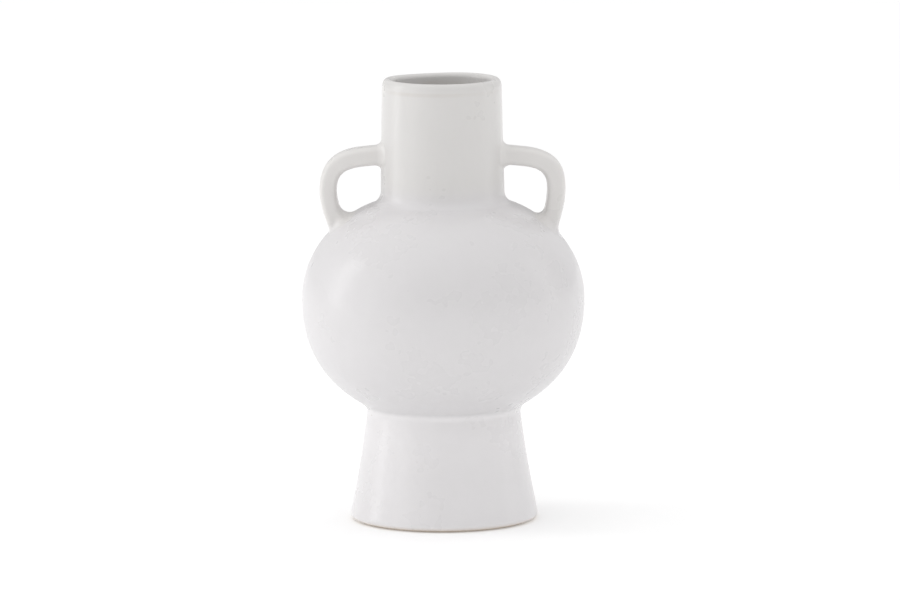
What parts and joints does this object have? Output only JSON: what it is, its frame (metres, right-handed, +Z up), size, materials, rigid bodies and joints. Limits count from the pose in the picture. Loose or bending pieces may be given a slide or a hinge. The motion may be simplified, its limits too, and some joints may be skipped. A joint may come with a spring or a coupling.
{
  "type": "ceramic bud vase",
  "caption": "White satin-glazed ceramic bud vase with a round belly, straight neck, flared pedestal foot and ear handles.",
  "frame": {"origin": "on the vase's axis, level with the flat underside of the foot ring that it stands on", "axes": "+Z up along the vase's axis, towards the mouth; the two handles lie along +X and -X; -Y is the front"},
  "size_m": [0.1142, 0.1142, 0.18],
  "materials": {
    "white_glaze": "satin white glaze, slightly warm, with soft broad highlights",
    "bare_clay": "unglazed fired stoneware, tan, dry and matt"
  },
  "bodies": {
    "root": {"neck": "white_glaze", "belly": "white_glaze", "pedestal": "white_glaze", "base": "bare_clay", "handle_left": "white_glaze", "handle_right": "white_glaze"}
  },
  "joints": []
}
